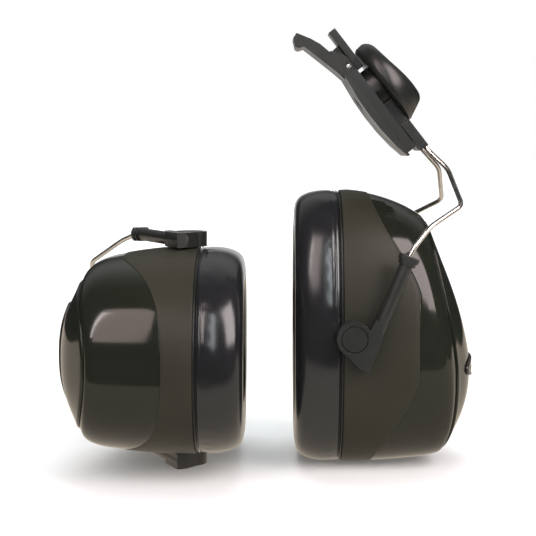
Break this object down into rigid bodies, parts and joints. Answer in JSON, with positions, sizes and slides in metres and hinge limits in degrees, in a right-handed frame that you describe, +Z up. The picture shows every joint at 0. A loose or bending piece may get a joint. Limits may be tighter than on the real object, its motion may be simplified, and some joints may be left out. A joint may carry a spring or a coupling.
{
  "type": "helmet-mounted earmuff pair",
  "caption": "Pair of deep oval earmuff cups with soft ear cushions, each on a sliding wire fork with a swivelling helmet clip.",
  "frame": {"origin": "on the surface the pair stands on, at the middle of the pair's box", "axes": "+X from the left cup to the right cup, +Y towards the back, where the left cup's arm points, +Z up"},
  "size_m": [0.1636, 0.1747, 0.1746],
  "materials": {
    "shell": "fine matte grain, satin",
    "gloss_shell": "polished moulded plastic",
    "badge": "plain polished long oval",
    "cushion": "soft smooth vinyl skin",
    "black_plastic": "satin moulded plastic",
    "foam": "open-cell foam",
    "wire": "bright drawn stainless wire",
    "steel": "plain turned steel"
  },
  "bodies": {
    "right_cup": {"right_cup_shell": "shell", "right_face_panel": "gloss_shell", "right_badge": "badge", "right_cushion": "cushion", "right_cushion_plate": "black_plastic", "right_foam_liner": "foam", "right_pivot_pins": "black_plastic", "right_pivot_bushes": "shell"},
    "right_holders": {"right_front_holder": "black_plastic", "right_rear_holder": "black_plastic", "right_collars": "black_plastic"},
    "right_fork": {"right_wire_fork": "wire"},
    "right_head": {"right_swivel_head": "black_plastic", "right_swivel_cap": "black_plastic", "right_wave_spring": "steel"},
    "right_clip": {"right_clip_plate": "black_plastic", "right_swivel_screw": "steel", "right_lock_pin": "steel", "right_lock_spring": "steel"},
    "right_lock": {"right_lock_blade": "black_plastic"},
    "left_cup": {"left_cup_shell": "shell", "left_face_panel": "gloss_shell", "left_badge": "badge", "left_cushion": "cushion", "left_cushion_plate": "black_plastic", "left_foam_liner": "foam", "left_pivot_pins": "black_plastic", "left_pivot_bushes": "shell"},
    "left_holders": {"left_front_holder": "black_plastic", "left_rear_holder": "black_plastic", "left_collars": "black_plastic"},
    "left_fork": {"left_wire_fork": "wire"},
    "left_head": {"left_swivel_head": "black_plastic", "left_swivel_cap": "black_plastic", "left_wave_spring": "steel"},
    "left_clip": {"left_clip_plate": "black_plastic", "left_swivel_screw": "steel", "left_lock_pin": "steel", "left_lock_spring": "steel"},
    "left_lock": {"left_lock_blade": "black_plastic"}
  },
  "joints": [
    {"name": "right_tilt", "type": "hinge", "parent": "right_cup", "child": "right_holders", "pos_m": [0.03185, -0.0243, 0.0547], "axis": [0, 1, 0], "range_deg": [-25, 25]},
    {"name": "right_height", "type": "slide", "parent": "right_holders", "child": "right_fork", "axis": [0.3827, 0, 0.9239], "range_m": [0, 0.025]},
    {"name": "right_swing", "type": "hinge", "parent": "right_fork", "child": "right_head", "pos_m": [0.05815, -0.0243, 0.13134], "axis": [0, 1, 0], "range_deg": [0, 35]},
    {"name": "right_swivel", "type": "hinge", "parent": "right_head", "child": "right_clip", "pos_m": [0.03768, -0.0243, 0.14562], "axis": [0.7923, 0, 0.6101], "range_deg": [-90, 90]},
    {"name": "right_lock", "type": "hinge", "parent": "right_clip", "child": "right_lock", "pos_m": [0.03171, -0.0243, 0.15895], "axis": [0, 1, 0], "range_deg": [0, 7], "stiffness_Nm_per_rad": 0.05},
    {"name": "left_tilt", "type": "hinge", "parent": "left_cup", "child": "left_holders", "pos_m": [-0.03185, -0.0328, 0.0465], "axis": [0, 0, 1], "range_deg": [-25, 25]},
    {"name": "left_height", "type": "slide", "parent": "left_holders", "child": "left_fork", "axis": [-0.454, 0.891, 0], "range_m": [0, 0.025]},
    {"name": "left_swing", "type": "hinge", "parent": "left_fork", "child": "left_head", "pos_m": [-0.06408, 0.04154, 0.0465], "axis": [0, 0, 1], "range_deg": [0, 35]},
    {"name": "left_swivel", "type": "hinge", "parent": "left_head", "child": "left_clip", "pos_m": [-0.0448, 0.05738, 0.0465], "axis": [-0.8377, 0.5461, 0], "range_deg": [-90, 90]},
    {"name": "left_lock", "type": "hinge", "parent": "left_clip", "child": "left_lock", "pos_m": [-0.03989, 0.07114, 0.0465], "axis": [0, 0, 1], "range_deg": [0, 7], "stiffness_Nm_per_rad": 0.05},
    {"name": "left_apart", "type": "slide", "parent": "right_cup", "child": "left_cup", "axis": [-1, 0, 0], "range_m": [0, 0.04]}
  ]
}
